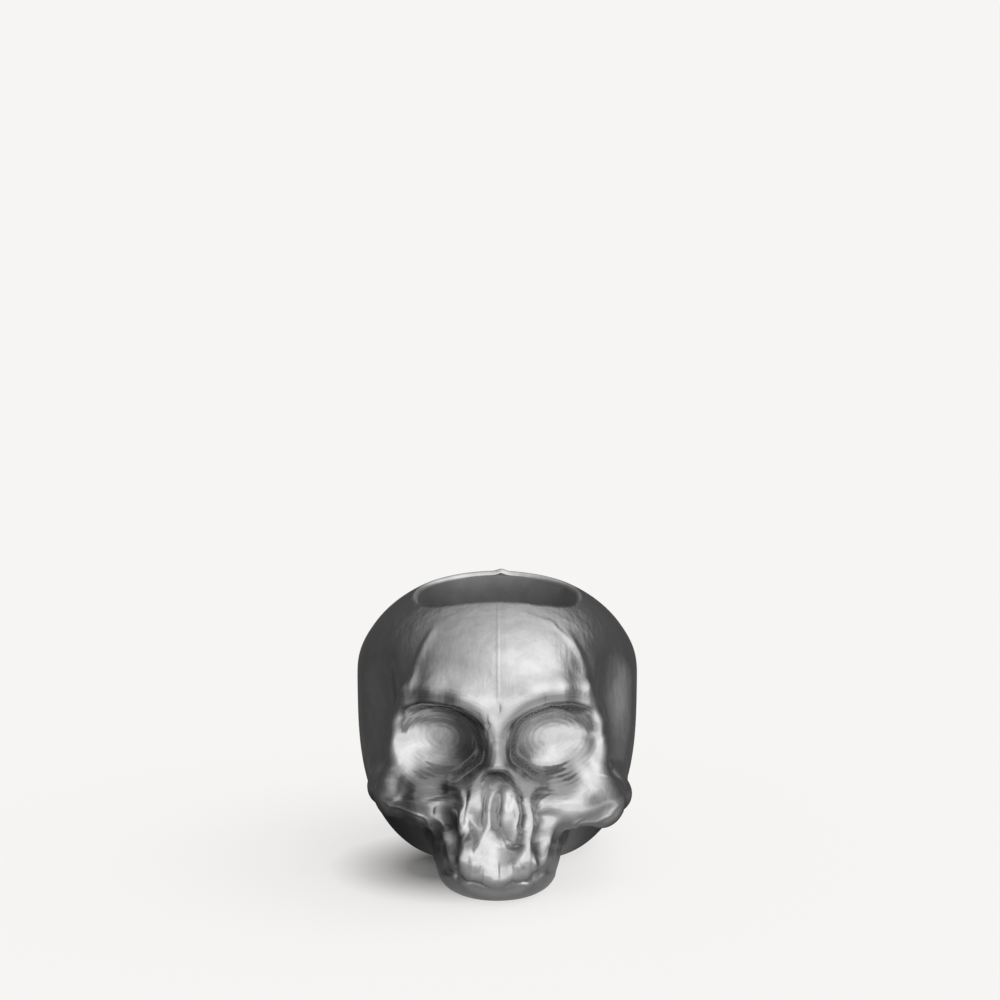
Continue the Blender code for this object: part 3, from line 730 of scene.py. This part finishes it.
def buildTable():
    # matt white card: the camera sees it shaded by the sun, with the backdrop's white painted over that shadow
    # away from the skull, and the lustre sees a sweep that is bright in front, dark behind and painted darker
    # close under the skull
    mesh = bpy.data.meshes.new("table")
    mesh.from_pydata([(-20, -20, 0), (20, -20, 0), (20, 20, 0), (-20, 20, 0)], [], [(0, 1, 2, 3)])
    table = bpy.data.objects.new("table", mesh)
    bpy.context.scene.collection.objects.link(table)
    material = bpy.data.materials.new("matt white card")
    material.use_nodes = True
    tree = material.node_tree
    tree.nodes.clear()
    matt = addNode(tree, "ShaderNodeBsdfDiffuse", {}, {"Color": hexColour(studio["table"])})
    place = addNode(tree, "ShaderNodeTexCoord")
    away = addNode(tree, "ShaderNodeVectorMath", {"operation": "LENGTH"}, {}, {0: place.outputs["Object"]})
    # painted shade: the glow that the lustre sees in the table is dimmed close under the skull
    fade = addNode(tree, "ShaderNodeMapRange", {},
                   {"From Min": screen["nearFrom"], "From Max": screen["nearTo"],
                    "To Min": screen["nearShare"] * studio["glow"], "To Max": studio["glow"]},
                   {"Value": away.outputs["Value"]})
    glow = addNode(tree, "ShaderNodeEmission", {}, {},
                   {"Color": lightRamp(tree, place.outputs["Object"], screen), "Strength": fade.outputs[0]})
    white = addNode(tree, "ShaderNodeEmission", {}, {"Color": hexColour(studio["backdrop"]), "Strength": 1.0})
    path = addNode(tree, "ShaderNodeLightPath")
    # painted light: the white share is 0 near shadeAt and rises with distance, so the sun's shadow is kept only
    # there
    gap = addNode(tree, "ShaderNodeVectorMath", {"operation": "DISTANCE"}, {1: studio["shadeAt"]},
                  {0: place.outputs["Object"]})
    sweep = addNode(tree, "ShaderNodeMapRange", {},
                    {"From Min": studio["shadeFrom"], "From Max": studio["shadeTo"],
                     "To Max": studio["sweep"]},
                    {"Value": gap.outputs["Value"]})
    part = addNode(tree, "ShaderNodeMath", {"operation": "MULTIPLY"}, {},
                   {0: path.outputs["Is Camera Ray"], 1: sweep.outputs[0]})
    seen = addNode(tree, "ShaderNodeMixShader", {}, {},
                   {0: part.outputs[0], 1: matt.outputs[0], 2: white.outputs[0]})
    mix = addNode(tree, "ShaderNodeMixShader", {}, {},
                  {0: path.outputs["Is Glossy Ray"], 1: seen.outputs[0], 2: glow.outputs[0]})
    addNode(tree, "ShaderNodeOutputMaterial", {}, {}, {"Surface": mix.outputs[0]})
    material.cycles.emission_sampling = "NONE"
    mesh.materials.append(material)
    print("table ready")


def buildWorld():
    # the camera sees the backdrop, the lustre sees the screens with the ceiling over them, and the table gets
    # the fill
    world = bpy.data.worlds.new("studio")
    bpy.context.scene.world = world
    world.use_nodes = True
    tree = world.node_tree
    tree.nodes.clear()
    place = addNode(tree, "ShaderNodeTexCoord")
    path = addNode(tree, "ShaderNodeLightPath")
    fill = addNode(tree, "ShaderNodeBackground", {}, {"Color": (1, 1, 1, 1), "Strength": studio["fill"]})
    direction = place.outputs["Generated"]
    apart = addNode(tree, "ShaderNodeSeparateXYZ", {}, {}, {"Vector": direction})
    over = addNode(tree, "ShaderNodeMapRange", {"interpolation_type": "SMOOTHSTEP"},
                   {"From Min": math.sin(math.radians(ceiling["from"])),
                    "From Max": math.sin(math.radians(ceiling["full"]))},
                   {"Value": apart.outputs["Z"]})
    lift = addNode(tree, "ShaderNodeMapRange", {},
                   {"From Min": 0.0, "From Max": screen["aboveTo"], "To Min": studio["glow"],
                    "To Max": screen["aboveTable"] * studio["glow"]},
                   {"Value": apart.outputs["Z"]})
    low = addNode(tree, "ShaderNodeBackground", {}, {},
                  {"Color": lightRamp(tree, direction, screen), "Strength": lift.outputs[0]})
    high = addNode(tree, "ShaderNodeBackground", {}, {"Strength": studio["glow"]},
                   {"Color": lightRamp(tree, direction, ceiling)})
    box = addNode(tree, "ShaderNodeMixShader", {}, {},
                  {0: over.outputs[0], 1: low.outputs[0], 2: high.outputs[0]})
    pale = addNode(tree, "ShaderNodeBackground", {},
                   {"Color": hexColour(studio["backdrop"]), "Strength": 1.0})
    seen = addNode(tree, "ShaderNodeMixShader", {}, {},
                   {0: path.outputs["Is Glossy Ray"], 1: fill.outputs[0], 2: box.outputs[0]})
    mix = addNode(tree, "ShaderNodeMixShader", {}, {},
                  {0: path.outputs["Is Camera Ray"], 1: seen.outputs[0], 2: pale.outputs[0]})
    addNode(tree, "ShaderNodeOutputWorld", {}, {}, {"Surface": mix.outputs[0]})
    world.cycles.sampling_method = "NONE"    # the light path is only known for rays that leave a surface
    print("world ready")


def buildSun():
    # a broad sun that only shades the table, turned so that its own z looks back along the light
    light = bpy.data.lights.new("sun", "SUN")
    light.energy = studio["sunStrength"]
    light.angle = math.radians(studio["sunAngle"])
    sun = bpy.data.objects.new("sun", light)
    place = towards(studio["sunAzimuth"], studio["sunElevation"])
    sun.rotation_euler = place.to_track_quat("Z", "Y").to_euler()
    sun.visible_glossy = False
    bpy.context.scene.collection.objects.link(sun)
    print("sun ready")


view = {
    "elevation": 16.0,
    "distance": 0.890,
    "lens": 100.0,
    "aim": (0.0009, -0.0036, 0.0402),
    "above": 235.0,            # how far above the skull the lens points, in pixels
    "pixels": 1000,
}


def buildCamera():
    # the lens stands back from the aim and is tilted up by atan(pixels above / pixels per unit of slope)
    camera = bpy.data.cameras.new("camera")
    camera.lens = view["lens"]
    eye = bpy.data.objects.new("camera", camera)
    eye.location = Vector(view["aim"]) + towards(0, view["elevation"]) * view["distance"]
    tilt = math.degrees(math.atan(view["above"] / (view["lens"] / camera.sensor_width * view["pixels"])))
    look = towards(0, view["elevation"] - tilt)
    eye.rotation_euler = look.to_track_quat("Z", "Y").to_euler()
    bpy.context.scene.collection.objects.link(eye)
    bpy.context.scene.camera = eye
    print("camera ready")


skull = buildSkull()
skull.data.materials.append(silverLustre())
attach(skull, "root")
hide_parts("skull_holder")
buildTable()
buildWorld()
buildSun()
buildCamera()
bpy.context.scene.view_settings.view_transform = "Standard"
